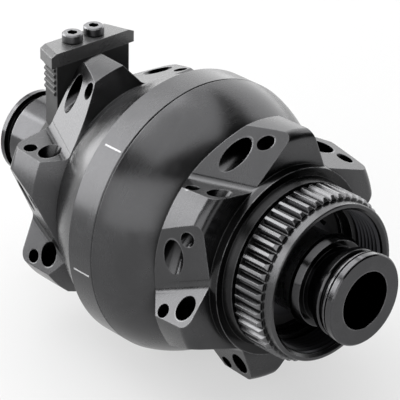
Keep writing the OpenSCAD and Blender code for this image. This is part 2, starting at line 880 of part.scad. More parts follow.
module terminal_blocks() {
    depth = plug_thickness - 2 * pocket_wall - 2 * block_play;
    color("#c7a24b")
        for (side = [-1, 1])
            translate([side * screw_spacing / 2, -screw_place, pocket_floor])
                difference() {
                    translate([-block_width / 2, -depth / 2, 0]) cube([block_width, depth, block_height]);
                    translate([0, 0, inlet_height - pocket_floor])
                        cylinder(d = screw_d + 2 * screw_play, h = block_height);
                    translate([0, 0, inlet_height - pocket_floor])
                        rotate([90, 0, 0]) cylinder(d = inlet_d, h = depth + over, center = true);
                }
}

axle();
disc_end_cap();
plug_end_cap();
disc_spacer();
plug_spacer();
disc_lock_nut();
plug_lock_nut();
stator_core();
disc_claw_plate();
plug_claw_plate();
coil_bobbin();
coil_winding();
lead_wires();
plug_housing();
plug_lid();
lid_screws();
terminal_blocks();
disc_bearing_inner_race();
disc_bearing_outer_race();
disc_bearing_balls();
disc_bearing_cage();
disc_bearing_shields();
plug_bearing_inner_race();
plug_bearing_outer_race();
plug_bearing_balls();
plug_bearing_cage();
plug_bearing_shields();
disc_side_shell();
plug_side_shell();
shell_gasket();
flux_ring();
magnets();
disc_seal();
plug_seal();
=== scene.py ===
"""Looks of a front hub dynamo: finishes, the lockring thread, the band's ticks and a studio."""

import math
from functools import cache

import bmesh
import bpy
from bpy.props import FloatProperty, FloatVectorProperty, IntProperty, PointerProperty
from mathutils import Matrix, Vector


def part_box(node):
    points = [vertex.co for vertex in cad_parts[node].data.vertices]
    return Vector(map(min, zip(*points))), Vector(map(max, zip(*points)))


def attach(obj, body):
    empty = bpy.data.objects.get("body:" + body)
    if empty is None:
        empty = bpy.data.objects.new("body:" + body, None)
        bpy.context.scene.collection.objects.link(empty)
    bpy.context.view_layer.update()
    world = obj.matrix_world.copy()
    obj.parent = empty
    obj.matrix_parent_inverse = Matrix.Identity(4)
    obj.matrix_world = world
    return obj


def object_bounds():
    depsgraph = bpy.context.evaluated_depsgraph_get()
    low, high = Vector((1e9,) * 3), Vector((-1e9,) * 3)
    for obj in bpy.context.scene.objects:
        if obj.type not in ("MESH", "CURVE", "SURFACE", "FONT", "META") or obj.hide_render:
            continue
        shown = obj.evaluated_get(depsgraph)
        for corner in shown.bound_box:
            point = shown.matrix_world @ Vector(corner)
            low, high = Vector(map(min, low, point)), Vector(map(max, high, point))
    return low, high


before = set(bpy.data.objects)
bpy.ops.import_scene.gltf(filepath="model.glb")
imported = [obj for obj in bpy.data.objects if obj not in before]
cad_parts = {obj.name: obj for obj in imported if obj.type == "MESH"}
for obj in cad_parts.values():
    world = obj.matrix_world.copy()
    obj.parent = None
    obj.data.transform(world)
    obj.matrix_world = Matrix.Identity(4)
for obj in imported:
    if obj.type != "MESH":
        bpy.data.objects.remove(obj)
CAD_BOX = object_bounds()
SHELL_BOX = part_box("disc_side_shell")

bl_info = {
    "name": "Hub dynamo",
    "version": (1, 0, 0),
    "blender": (4, 5, 0),
    "location": "View3D > Sidebar > Hub dynamo",
    "description": "Dresses the solids of a front hub dynamo and lights them",
    "category": "Object",
}

# Millimetres in a metre
MM = 1000

# Edges of new pieces that are sharper than this stay sharp
SHARP_ANGLE = math.radians(30)

# Distance from a speckle's middle to its rim, as a share of the speckle's size
SPECKLE_RIM = 0.9

# Range that most values of a noise lie in
NOISE_LOW = 0.3
NOISE_HIGH = 0.7

# Where each softbox hangs, its width and its height, in metres
SOFTBOXES = {
    "key": ((0.46, -1.02, 0.43), 1.28, 0.92),
    "back": ((-1.02, -0.47, 0.43), 1.85, 1.0),
    "front": ((1.01, 0.47, 0.45), 2.0, 0.87),
    "top": ((-0.05, -0.22, 1.18), 1.65, 2.0),
    "high": ((-0.02, -0.525, 0.91), 0.8, 0.5),
}


# Settings


def colour_property(name, description, default):
    """A linear colour that a user may change."""
    return FloatVectorProperty(
        name=name, description=description, subtype="COLOR", size=3, min=0, max=1, default=default
    )


def length_property(name, description, default):
    """A length in metres."""
    return FloatProperty(
        name=name, description=description, unit="LENGTH", precision=5, default=default
    )


def angle_property(name, description, degrees):
    """An angle, given in degrees."""
    return FloatProperty(
        name=name, description=description, subtype="ANGLE", default=math.radians(degrees)
    )


def power_property(name, description, default):
    """The power of a lamp."""
    return FloatProperty(name=name, description=description, unit="POWER", default=default)


class HubFinishes(bpy.types.PropertyGroup):
    """Colours of the finishes."""

    anodise: colour_property("Anodise", "Black anodised hub shell", (0.069, 0.069, 0.071))
    # This colour serves edges worn thin and also painted highlights on the shells' edges and the
    # spline crests.
    anodise_wear_and_highlight: colour_property("Worn anodise", "Edges rubbed thin", (0.24, 0.24, 0.247))
    end_cap: colour_property("End caps", "Black polished end caps", (0.068, 0.068, 0.0705))
    housing: colour_property("Housing", "Moulded black cable housing", (0.02, 0.02, 0.0205))
    lid: colour_property("Lid", "Moulded dark grey lid", (0.055, 0.055, 0.056))
    dark_steel: colour_property("Dark steel", "Blackened screws", (0.15, 0.15, 0.155))
    aluminium: colour_property("Aluminium", "Bare turned aluminium", (0.62, 0.63, 0.65))
    iron: colour_property("Iron", "Stator and flux ring iron", (0.27, 0.27, 0.28))
    bearing: colour_property("Bearing steel", "Ground bearing steel", (0.66, 0.67, 0.69))
    brass: colour_property("Brass", "Terminal blocks and ball cages", (0.62, 0.42, 0.16))
    copper: colour_property("Copper", "Enamelled copper wire", (0.52, 0.17, 0.06))
    ferrite: colour_property("Ferrite", "Sintered magnets", (0.055, 0.05, 0.048))
    nylon: colour_property("Nylon", "Moulded coil bobbin", (0.62, 0.57, 0.45))
    sleeve: colour_property("Sleeve", "Sleeve of one lead", (0.33, 0.035, 0.025))
    sleeve_other: colour_property("Other sleeve", "Sleeve of the other lead", (0.025, 0.025, 0.03))
    rubber: colour_property("Rubber", "Seals, shields and gasket", (0.02, 0.02, 0.021))
    ink: colour_property("Ink", "Printed ticks on the band", (0.62, 0.62, 0.63))


class ThreadSizes(bpy.types.PropertyGroup):
    """Sizes of the lockring thread."""

    root: length_property("Root radius", "Radius of the bore that the thread stands in", 0.015)
    crest: length_property("Crest radius", "Radius at the tops of the thread", 0.01446)
    pitch: length_property("Pitch", "Distance from one turn to the next", 0.001)
    mouth: length_property("Mouth", "Distance of the thread from the rim's end face", 0.0007)
    turns: IntProperty(name="Turns", description="Number of turns of the thread", default=6, min=1)


class TickSizes(bpy.types.PropertyGroup):
    """Sizes of the printed ticks on the plain band."""

    width: length_property("Width", "Width of a tick round the band", 0.00036)
    thickness: length_property("Thickness", "Height of the ink above the band", 0.00002)
    start: length_property("Start", "End of a tick on the plug side of the hub's middle", -0.0021)
    end: length_property("End", "End of a tick on the rotor side of the hub's middle", 0.0025)
    first: angle_property("First", "Angle of the first tick about the axle", 45)
    second: angle_property("Second", "Angle of the second tick about the axle", -7.8)


class StudioSettings(bpy.types.PropertyGroup):
    """Floor, lamps and camera."""

    floor: colour_property("Floor", "Pale studio floor", (0.22, 0.22, 0.22))
    floor_gap: length_property("Floor gap", "Distance of the floor below the hub", 0.0001)
    lens: FloatProperty(
        name="Lens", description="Focal length of the camera", unit="CAMERA", default=224.7
    )
    key_power: power_property("Key lamp", "Power of the softbox on the plug side", 21.5)
    back_power: power_property("Back lamp", "Power of the softbox behind the hub", 12.5)
    front_power: power_property("Front lamp", "Power of the softbox on the camera's side", 11.5)
    top_power: power_property("Top lamp", "Power of the softbox overhead", 21.0)
    high_power: power_property("High lamp", "Power of the softbox high on the plug side", 3.3)


# Shader building


def add(tree, kind, values=None, **settings):
    """Adds a shader node. Values fill its sockets with numbers, colours or other nodes' outputs."""
    made = tree.nodes.new("ShaderNode" + kind)
    for name, setting in settings.items():
        setattr(made, name, setting)
    for socket, value in (values or {}).items():
        if isinstance(value, bpy.types.NodeSocket):
            tree.links.new(value, made.inputs[socket])
        else:
            made.inputs[socket].default_value = value
    return made


def math_of(tree, operation, first, second=0.0):
    """Output of one Math node."""
    return add(tree, "Math", {0: first, 1: second}, operation=operation).outputs[0]


def product(tree, first, second):
    """One value times another."""
    return math_of(tree, "MULTIPLY", first, second)


def spread(tree, value, low=0.0, high=1.0, new_low=0.0, new_high=1.0):
    """Maps a value's range onto another, without passing its ends."""
    ends = {
        "Value": value,
        "From Min": low,
        "From Max": high,
        "To Min": new_low,
        "To Max": new_high,
    }
    return add(tree, "MapRange", ends).outputs["Result"]


def mix_colours(tree, share, first, second):
    """Colour between two others."""
    return add(tree, "Mix", {0: share, 6: first, 7: second}, data_type="RGBA").outputs[2]


def mix_values(tree, share, first, second):
    """Value between two others."""
    return add(tree, "Mix", {0: share, 2: first, 3: second}).outputs[0]


def scaled(tree, colour, share):
    """A colour times a share that changes over the surface."""
    values = {0: colour, "Scale": share}
    return add(tree, "VectorMath", values, operation="SCALE").outputs[0]


def toned(colour, share):
    """A colour made lighter or darker all over, without passing full white."""
    return [min(1.0, part * share) for part in colour]


def opaque(colour):
    """A colour with full alpha, as colour sockets take it."""
    return (*colour, 1.0)


def start_group(name, inputs, outputs):
    """A new shader node group with its named sockets, its input node and its output node."""
    group = bpy.data.node_groups.new(name, "ShaderNodeTree")
    for label, default in inputs.items():
        socket = group.interface.new_socket(label, in_out="INPUT", socket_type="NodeSocketFloat")
        socket.default_value = default
    for label, kind in outputs.items():
        group.interface.new_socket(label, in_out="OUTPUT", socket_type="NodeSocket" + kind)
    given = group.nodes.new("NodeGroupInput").outputs
    out = group.nodes.new("NodeGroupOutput").inputs
    return group, given, out


def place_group(tree, group, **values):
    """Places a node group in a tree with its own values, and gives its outputs."""
    return add(tree, "Group", values, node_tree=group).outputs


def millimetres(tree, scale=(MM, MM, MM)):
    """The point's own coordinates in millimetres, or only those whose scale isn't 0."""
    place = add(tree, "TexCoord").outputs["Object"]
    return add(tree, "VectorMath", {0: place, 1: scale}, operation="MULTIPLY").outputs[0]


def hub_place_group():
    """Where a point lies on the hub: along the axle and out from it, in millimetres."""
    group, _, out = start_group("Hub Place", {}, {"Along": "Float", "Radius": "Float"})
    along = add(group, "SeparateXYZ", {0: millimetres(group)}).outputs["Y"]
    across = millimetres(group, (MM, 0, MM))
    radius = add(group, "VectorMath", {0: across}, operation="LENGTH").outputs["Value"]
    group.links.new(along, out["Along"])
    group.links.new(radius, out["Radius"])
    return group


def turning_marks_group(hub_place):
    """Fine lines that a lathe leaves round the axle."""
    inputs = {"Lines": 6.0, "Drift": 0.15}
    group, given, out = start_group("Turning Marks", inputs, {"Height": "Float"})
    place = place_group(group, hub_place)
    across = math_of(group, "ADD", place["Along"], place["Radius"])
    around = add(group, "SeparateXYZ", {0: millimetres(group)}).outputs
    drift = {
        "X": product(group, across, given["Lines"]),
        "Y": product(group, around["X"], given["Drift"]),
        "Z": product(group, around["Z"], given["Drift"]),
    }
    lines = add(group, "CombineXYZ", drift).outputs[0]
    streaks = {"Vector": lines, "Scale": 1.0, "Detail": 3.0, "Roughness": 0.6}
    group.links.new(add(group, "TexNoise", streaks).outputs["Fac"], out["Height"])
    return group


def painted_recess_shade_group(hub_place):
    """How much painted shade a point gets, from 0 in the open to 1.

    Shade is painted into the lockring mouth, the groove behind the rotor spline and all corners,
    which are recesses. Lengths are in millimetres, along the axle or out from it.
    """
    rim_radius, bore_radius = 15.75, 15.45
    crest_radius, root_radius, crest_share = 14.5, 14.95, 0.4
    mouth_end, mouth_floor, end_share = 41.0, 35.0, 0.2
    seat_end = 29.0
    flange_face, groove_start = 27.55, 28.0
    groove_end, spline_face, groove_share = 32.0, 32.4, 0.75
    open_light, corner_light = 0.82, 0.4

    group, given, out = start_group("Recess", {"Reach": 0.009}, {"Depth": "Float"})
    place = place_group(group, hub_place)
    along = place["Along"]
    radius = place["Radius"]
    within = spread(group, radius, rim_radius, bore_radius)
    within = product(group, within, spread(group, radius, crest_radius, root_radius, crest_share))
    within = product(group, within, spread(group, along, mouth_end, mouth_floor, end_share))
    mouth = product(group, within, math_of(group, "GREATER_THAN", along, seat_end))
    groove = spread(group, along, flange_face, groove_start)
    fade = spread(group, along, spline_face, groove_end, new_high=groove_share)
    turned = math_of(group, "MAXIMUM", mouth, product(group, groove, fade))
    light = add(group, "AmbientOcclusion", {"Distance": given["Reach"]}, samples=6).outputs["AO"]
    hidden = spread(group, light, open_light, corner_light)
    group.links.new(math_of(group, "MAXIMUM", turned, hidden), out["Depth"])
    return group


def rotor_spline_group(hub_place):
    """Mask of the rotor spline's teeth, strongest on their crests. Lengths are in millimetres."""
    flank_radius, crest_radius = 16.75, 17.2
    teeth_radius, clear_radius = 17.65, 17.75
    groove_end, teeth_start = 31.9, 32.1

    group, _, out = start_group("Rotor Spline", {}, {"Crest": "Float"})
    place = place_group(group, hub_place)
    raised = spread(group, place["Radius"], flank_radius, crest_radius)
    toothed = spread(group, place["Along"], groove_end, teeth_start)
    below = spread(group, place["Radius"], clear_radius, teeth_radius)
    group.links.new(product(group, product(group, raised, toothed), below), out["Crest"])
    return group


def fine_grain_group():
    """Even speckle of a blasted, etched or moulded surface."""
    outputs = {"Height": "Float", "Speckle": "Float"}
    group, given, out = start_group("Fine Grain", {"Size": 0.2}, outputs)
    scale = math_of(group, "DIVIDE", 1.0, given["Size"])
    grain = {"Vector": millimetres(group), "Scale": scale, "Detail": 2.0}
    cells = {"Vector": millimetres(group), "Scale": scale}
    group.links.new(add(group, "TexNoise", grain).outputs["Fac"], out["Height"])
    group.links.new(add(group, "TexVoronoi", cells).outputs["Distance"], out["Speckle"])
    return group


def handling_marks_group():
    """Broad, faint cloudiness that handling leaves on a finish."""
    clear, smudged = 0.35, 0.7
    group, given, out = start_group("Handling Marks", {"Size": 9.0}, {"Smudge": "Float"})
    cloud = {
        "Vector": millimetres(group),
        "Scale": math_of(group, "DIVIDE", 1.0, given["Size"]),
        "Detail": 4.0,
        "Roughness": 0.62,
        "Distortion": 0.8,
    }
    noise = add(group, "TexNoise", cloud).outputs["Fac"]
    group.links.new(spread(group, noise, clear, smudged), out["Smudge"])
    return group


def edge_wear_group():
    """Rounded edge normals, and a mask of the outer edges where a finish rubs thin."""
    flat_inside, edge_inside = 0.95, 0.45
    unworn, worn = 0.3, 0.55
    inputs = {"Rounding": 0.00022, "Reach": 0.0003}
    group, given, out = start_group("Edge Wear", inputs, {"Mask": "Float", "Normal": "Vector"})
    rounded = add(group, "Bevel", {"Radius": given["Rounding"]}, samples=6)
    reach = {"Distance": given["Reach"]}
    inner = add(group, "AmbientOcclusion", reach, inside=True, only_local=True, samples=6)
    edge = spread(group, inner.outputs["AO"], flat_inside, edge_inside)
    blotches = {"Vector": millimetres(group), "Scale": 0.7, "Detail": 4.0}
    noise = add(group, "TexNoise", blotches).outputs["Fac"]
    group.links.new(product(group, edge, spread(group, noise, unworn, worn)), out["Mask"])
    group.links.new(rounded.outputs["Normal"], out["Normal"])
    return group


class Effects:
    """The node groups, built once for all finishes."""

    def __init__(self):
        hub_place = hub_place_group()
        self.turning = turning_marks_group(hub_place)
        self.recess = painted_recess_shade_group(hub_place)
        self.spline = rotor_spline_group(hub_place)
        self.grain = fine_grain_group()
        self.handling = handling_marks_group()
        self.wear = edge_wear_group()


@cache
def effects():
    """The node groups of this run."""
    return Effects()


def start_material(name, metallic):
    """A new node material and its Principled shader."""
    material = bpy.data.materials.new(name)
    material.use_nodes = True
    shader = material.node_tree.nodes["Principled BSDF"]
    shader.inputs["Metallic"].default_value = metallic
    return material, material.node_tree, shader


def relief(tree, shader, height, depth, normal=None):
    """Gives the shader a relief of a depth in metres, over a rounded normal where one is given."""
    values = {"Height": height, "Strength": 1.0, "Distance": depth}
    if normal:
        values["Normal"] = normal
    tree.links.new(add(tree, "Bump", values).outputs["Normal"], shader.inputs["Normal"])


def machined_finish(
    name, colour, edge_colour, roughness, swing, lines, grain, depth, wear, painted_shade=0.0, spline=0.0
):
    """A turned and surface-treated metal with worn edges, painted shade and painted highlights.

    Roughness swings with handling, lines are per millimetre, grain is a size in millimetres, depth
    is the relief of both in metres, wear is how far the edges go towards their own colour, which
    is real wear and on the anodised shells also a painted edge highlight, soot is how much painted
    shade darkens the finish in recesses, and spline is how far a painted highlight lightens the
    crests of the spline towards the edge colour.
    """
    streak_share = 0.6
    grain_share = 0.6
    material, tree, shader = start_material(name, metallic=1.0)
    made = effects()
    edge = place_group(tree, made.wear)
    marks = place_group(tree, made.turning, Lines=lines)["Height"]
    speckle = place_group(tree, made.grain, Size=grain)
    smudge = place_group(tree, made.handling)["Smudge"]

    # Edges go towards the edge colour as real wear; on the anodised shells this is also a painted
    # edge highlight.
    rubbed_and_highlighted = product(tree, edge["Mask"], wear)
    # Painted highlight: the crests of the rotor spline go towards the edge colour.
    if spline:
        crest = place_group(tree, made.spline)["Crest"]
        rubbed_and_highlighted = mix_values(tree, crest, rubbed_and_highlighted, spline)
    mottle = spread(tree, smudge, new_low=0.93, new_high=1.07)
    dots = spread(tree, speckle["Speckle"], high=SPECKLE_RIM, new_low=0.86, new_high=1.1)
    plain = scaled(tree, colour, product(tree, mottle, dots))
    # Painted shade: the colour is darkened in corners, in the lockring mouth and in the groove
    # behind the spline.
    if painted_shade:
        deep = place_group(tree, made.recess)["Depth"]
        plain = scaled(tree, plain, spread(tree, deep, new_low=1.0, new_high=1.0 - painted_shade))
    base = mix_colours(tree, rubbed_and_highlighted, plain, opaque(edge_colour))
    tree.links.new(base, shader.inputs["Base Color"])

    cloudy = spread(tree, smudge, new_low=roughness - swing, new_high=roughness + swing)
    streak = swing * streak_share
    streaky = spread(tree, marks, NOISE_LOW, NOISE_HIGH, -streak, streak)
    tree.links.new(math_of(tree, "ADD", cloudy, streaky), shader.inputs["Roughness"])
    height = math_of(tree, "ADD", marks, product(tree, speckle["Height"], grain_share))
    relief(tree, shader, height, depth, edge["Normal"])
    return material


def moulded_finish(name, colour, roughness, grain, depth, gloss=0.5):
    """A moulded plastic or rubber with an etched grain and soft, scuffed edges.

    Grain is a size in millimetres, depth is its relief in metres, and gloss is the specular level.
    """
    scuff, scuff_tone = 0.5, 1.8
    wiped, smeared = roughness - 0.05, roughness + 0.07
    material, tree, shader = start_material(name, metallic=0.0)
    shader.inputs["Specular IOR Level"].default_value = gloss
    made = effects()
    edge = place_group(tree, made.wear, Rounding=0.0002)
    speckle = place_group(tree, made.grain, Size=grain)
    smudge = place_group(tree, made.handling, Size=6.0)["Smudge"]
    dots = spread(tree, speckle["Speckle"], high=SPECKLE_RIM, new_low=0.8, new_high=1.25)
    scuffed = product(tree, edge["Mask"], scuff)
    pale = opaque(toned(colour, scuff_tone))
    base = mix_colours(tree, scuffed, scaled(tree, colour, dots), pale)
    tree.links.new(base, shader.inputs["Base Color"])
    cloudy = spread(tree, smudge, new_low=wiped, new_high=smeared)
    tree.links.new(cloudy, shader.inputs["Roughness"])
    relief(tree, shader, speckle["Height"], depth, edge["Normal"])
    return material


def wound_finish(name, colour):
    """Enamelled wire laid in turns beside each other round the axle."""
    wire_pitch, wire_relief, roundness = 0.42, 0.00012, 0.5
    gap_shade = 0.35
    material, tree, shader = start_material(name, metallic=1.0)
    along = add(tree, "SeparateXYZ", {0: millimetres(tree)}).outputs["Y"]
    wave = math_of(tree, "SINE", product(tree, along, 2 * math.pi / wire_pitch))
    turns = spread(tree, wave, low=-1.0)
    smudge = place_group(tree, effects().handling, Size=2.5)["Smudge"]
    # Painted shade: the gaps between turns of wire are darker.
    base = mix_colours(tree, turns, opaque(toned(colour, gap_shade)), opaque(colour))
    tree.links.new(base, shader.inputs["Base Color"])
    cloudy = spread(tree, smudge, new_low=0.24, new_high=0.4)
    tree.links.new(cloudy, shader.inputs["Roughness"])
    relief(tree, shader, math_of(tree, "POWER", turns, roundness), wire_relief)
    return material


def sintered_finish(name, colour):
    """Pressed magnet powder, with pores."""
    pore_middle, pore_rim, pore_tone, pore_relief = 0.05, 0.3, 0.4, 0.00003
    material, tree, shader = start_material(name, metallic=0.25)
    made = effects()
    speckle = place_group(tree, made.grain, Size=0.35)
    edge = place_group(tree, made.wear)
    pores = spread(tree, speckle["Speckle"], pore_middle, pore_rim)
    base = mix_colours(tree, pores, opaque(toned(colour, pore_tone)), opaque(colour))
    tree.links.new(base, shader.inputs["Base Color"])
    uneven = spread(tree, speckle["Height"], NOISE_LOW, NOISE_HIGH, new_low=0.5, new_high=0.72)
    tree.links.new(uneven, shader.inputs["Roughness"])
    relief(tree, shader, pores, pore_relief, edge["Normal"])
    return material


def sleeve_finish(name, colour, other):
    """Braided sleeves on the two leads, one colour on each side of the middle."""
    braid_pitch, strand_pitch, braid_relief = 0.3, 0.25, 0.00004
    material, tree, shader = start_material(name, metallic=0.0)
    parts = add(tree, "SeparateXYZ", {0: millimetres(tree)}).outputs
    side = math_of(tree, "GREATER_THAN", parts["X"], 0.0)
    run = math_of(tree, "ADD", parts["Y"], parts["Z"])
    braid = math_of(tree, "SINE", product(tree, run, 2 * math.pi / braid_pitch))
    crossed = math_of(tree, "SINE", product(tree, parts["X"], 2 * math.pi / strand_pitch))
    weave = spread(tree, product(tree, braid, crossed), low=-1.0)
    plain = mix_colours(tree, side, opaque(other), opaque(colour))
    woven = scaled(tree, plain, spread(tree, weave, new_low=0.7, new_high=1.2))
    tree.links.new(woven, shader.inputs["Base Color"])
    rough = spread(tree, weave, new_low=0.75, new_high=0.5)
    tree.links.new(rough, shader.inputs["Roughness"])
    relief(tree, shader, weave, braid_relief)
    return material


def ink_finish(name, colour):
    """Thin print, a little worn through."""
    thin_tone, ink_relief = 0.6, 0.000004
    material, tree, shader = start_material(name, metallic=0.0)
    speckle = place_group(tree, effects().grain, Size=0.12)
    cover = spread(tree, speckle["Height"], NOISE_LOW, NOISE_HIGH)
    base = mix_colours(tree, cover, opaque(toned(colour, thin_tone)), opaque(colour))
    tree.links.new(base, shader.inputs["Base Color"])
    rough = spread(tree, speckle["Speckle"], high=SPECKLE_RIM, new_low=0.42, new_high=0.6)
    tree.links.new(rough, shader.inputs["Roughness"])
    relief(tree, shader, cover, ink_relief)
    return material


def plain_anodise():
    """The frame's own material of the anodised slot: plain, and not the finish of the shells."""
    return bpy.data.materials["black_anodised"]


def dress(material, *names):
    """Gives a finish to CAD nodes."""
    for name in names:
        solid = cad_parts[name]
        if not solid.material_slots:
            solid.data.materials.append(material)
        for slot in solid.material_slots:
            slot.material = material


# Meshes


def on_hub(radius, along, angle):
    """The point at that radius, distance along the axle and angle about it."""
    return Vector((radius * math.cos(angle), along, radius * math.sin(angle)))


def loft(mesh, rows):
    """Joins rings of points into a tube with closed ends."""
    rings = [[mesh.verts.new(point) for point in row] for row in rows]
    for ring, following in zip(rings, rings[1:]):
        for side in range(len(ring)):
            other = (side + 1) % len(ring)
            mesh.faces.new((ring[side], ring[other], following[other], following[side]))
    mesh.faces.new(rings[0])
    mesh.faces.new(rings[-1])


def thread_mesh(sizes, rim):
    """A helical ridge inside the mouth, which rises from the bore and runs out into it again."""
    steps = 96
    run_out = 0.4 * steps
    foot_sink, end_sink = 0.00004, 0.00002
    foot = sizes.root + foot_sink
    lowest = sizes.root + end_sink
    foot_half, crest_half = 0.46 * sizes.pitch, 0.07 * sizes.pitch
    total = sizes.turns * steps
    start = rim - sizes.mouth - (sizes.turns + 0.5) * sizes.pitch
    rows = []
    for step in range(total + 1):
        angle = 2 * math.pi * step / steps
        along = start + sizes.pitch * step / steps
        rise = min(1.0, step / run_out, (total - step) / run_out)
        crest = lowest + (sizes.crest - lowest) * rise
        profile = (
            (foot, along - foot_half),
            (crest, along - crest_half),
            (crest, along + crest_half),
            (foot, along + foot_half),
        )
        rows.append([on_hub(radius, place, angle) for radius, place in profile])
    mesh = bmesh.new()
    loft(mesh, rows)
    return mesh


def ticks_mesh(sizes, radius):
    """Thin printed strips across the band, which follow its curve."""
    sink = 0.00002
    bottom = radius - sink
    top = radius + sizes.thickness
    half = sizes.width / radius / 2
    mesh = bmesh.new()
    for middle in (sizes.first, sizes.second):
        rows = []
        for along in (sizes.start, sizes.end):
            low = [on_hub(bottom, along, middle + half * turn) for turn in (-1, 0, 1)]
            high = [on_hub(top, along, middle + half * turn) for turn in (1, 0, -1)]
            rows.append(low + high)
        loft(mesh, rows)
    return mesh


def finish_piece(name, mesh, material, body):
    """Turns a bmesh into a piece that rides on a body."""
    bmesh.ops.recalc_face_normals(mesh, faces=mesh.faces)
    data = bpy.data.meshes.new(name)
    mesh.to_mesh(data)
    mesh.free()
    data.materials.append(material)
    data.shade_smooth()
    data.set_sharp_from_angle(angle=SHARP_ANGLE)
    piece = bpy.data.objects.new(name, data)
    bpy.context.collection.objects.link(piece)
    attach(piece, body)


# Stage


def add_softbox(name, power, place, width, height):
    """A rectangular lamp that faces the hub."""
    lamp = bpy.data.lights.new(name, "AREA")
    lamp.shape = "RECTANGLE"
    lamp.size = width
    lamp.size_y = height
    lamp.energy = power
    softbox = bpy.data.objects.new(name, lamp)
    softbox.location = place
    softbox.rotation_euler = Vector(place).to_track_quat("Z", "Y").to_euler()
    bpy.context.collection.objects.link(softbox)


def seen_directly(tree):
    """1 for rays that show the background as it is: from the camera, off gloss, through glass."""
    path = add(tree, "LightPath").outputs
    shown = math_of(tree, "MAXIMUM", path["Is Camera Ray"], path["Is Glossy Ray"])
    return math_of(tree, "MAXIMUM", shown, path["Is Transmission Ray"])


def floor_finish(colour):
    """Pale floor that stays near white and keeps the hub's shadow."""
    own_white = 0.57
    material, tree, shader = start_material("studio_floor", metallic=0.0)
    shader.inputs["Base Color"].default_value = opaque(colour)
    shader.inputs["Roughness"].default_value = 0.9
    shader.inputs["Specular IOR Level"].default_value = 0.0
    shader.inputs["Emission Color"].default_value = (1, 1, 1, 1)
    shown = product(tree, seen_directly(tree), own_white)
    tree.links.new(shown, shader.inputs["Emission Strength"])
    return material


def add_floor(settings):
    """A round floor under the hub."""
    mesh = bmesh.new()
    bmesh.ops.create_circle(mesh, cap_ends=True, radius=6.0, segments=64)
    data = bpy.data.meshes.new("studio_floor")
    mesh.to_mesh(data)
    mesh.free()
    data.materials.append(floor_finish(settings.floor))
    floor = bpy.data.objects.new("studio_floor", data)
    floor.location.z = CAD_BOX[0][2] - settings.floor_gap
    bpy.context.collection.objects.link(floor)


def add_world():
    """A low pale backdrop all round, and a dim room above it."""
    backdrop_top, backdrop_light, room_light = 0.1, 0.5, 0.03
    world = bpy.data.worlds.new("studio")
    world.use_nodes = True
    tree = world.node_tree
    direction = add(tree, "TexCoord").outputs["Generated"]
    height = add(tree, "SeparateXYZ", {0: direction}).outputs["Z"]
    strength = spread(tree, height, 0.0, backdrop_top, backdrop_light, room_light)
    tree.nodes["Background"].inputs["Color"].default_value = (1, 1, 1, 1)
    tree.links.new(strength, tree.nodes["Background"].inputs["Strength"])
    bpy.context.scene.world = world


def add_camera(lens):
    """The photograph's view, from above on the rotor side."""
    right = Vector((-0.73553, 0.67733, 0.01520))
    up = Vector((-0.29911, -0.34478, 0.88975))
    back = Vector((0.60789, 0.64989, 0.45619))
    eye = Vector((0.30816, 0.33265, 0.23481))
    data = bpy.data.cameras.new("camera")
    data.sensor_width = 36.0
    data.lens = lens
    data.clip_start = 0.01
    camera = bpy.data.objects.new("camera", data)
    turned = Matrix((right, up, back)).transposed().to_4x4()
    camera.matrix_world = Matrix.Translation(eye) @ turned
    bpy.context.collection.objects.link(camera)
    bpy.context.scene.camera = camera


# Operators


class HUB_OT_finish_shells(bpy.types.Operator):
    """Gives both halves of the hub shell their black anodised finish"""

    bl_idname = "hub.finish_shells"
    bl_label = "Finish shells"

    def execute(self, context):
        colours = context.scene.hub_finishes
        # The shells get painted shade in recesses, a painted highlight on the spline crests, and
        # worn edges that are partly a painted edge highlight.
        anodised = machined_finish(
            "black_anodised", colours.anodise, colours.anodise_wear_and_highlight, roughness=0.26, swing=0.035,
            lines=5.0, grain=0.16, depth=0.0000016, wear=0.5, painted_shade=0.85, spline=0.4,
        )
        dress(anodised, "disc_side_shell", "plug_side_shell")
        return {"FINISHED"}


class HUB_OT_finish_end_caps(bpy.types.Operator):
    """Gives the end caps, lock nuts and lid screws their dark finishes"""

    bl_idname = "hub.finish_end_caps"
    bl_label = "Finish end caps and screws"

    def execute(self, context):
        colours = context.scene.hub_finishes
        # The caps, and the screws below, get painted shade in their recesses.
        caps = machined_finish(
            "polished_black", colours.end_cap, colours.anodise_wear_and_highlight, roughness=0.15, swing=0.02,
            lines=7.0, grain=0.2, depth=0.000001, wear=0.6, painted_shade=0.8,
        )
        dress(caps, "disc_end_cap", "plug_end_cap")
        steel = machined_finish(
            "dark_steel", colours.dark_steel, colours.aluminium, roughness=0.34, swing=0.05,
            lines=5.0, grain=0.18, depth=0.000003, wear=0.3, painted_shade=0.8,
        )
        dress(steel, "lid_screws")
        dress(plain_anodise(), "disc_lock_nut", "plug_lock_nut")
        return {"FINISHED"}


class HUB_OT_finish_housing(bpy.types.Operator):
    """Gives the cable housing, its lid, the rubber rings and the bobbin their moulded finishes"""

    bl_idname = "hub.finish_housing"
    bl_label = "Finish housing and seals"

    def execute(self, context):
        colours = context.scene.hub_finishes
        housing = moulded_finish(
            "housing_black", colours.housing, roughness=0.38, grain=0.25, depth=0.000006, gloss=0.3
        )
        dress(housing, "plug_housing")
        lid = moulded_finish(
            "lid_grey", colours.lid, roughness=0.3, grain=0.25, depth=0.000006, gloss=1.0
        )
        dress(lid, "plug_lid")
        rubber = moulded_finish(
            "seal_rubber", colours.rubber, roughness=0.62, grain=0.3, depth=0.000012
        )
        dress(rubber, "shell_gasket")
        for side in ("disc", "plug"):
            dress(rubber, f"{side}_seal", f"{side}_bearing_shields")
        nylon = moulded_finish(
            "bobbin_nylon", colours.nylon, roughness=0.48, grain=0.4, depth=0.000008
        )
        dress(nylon, "coil_bobbin")
        return {"FINISHED"}


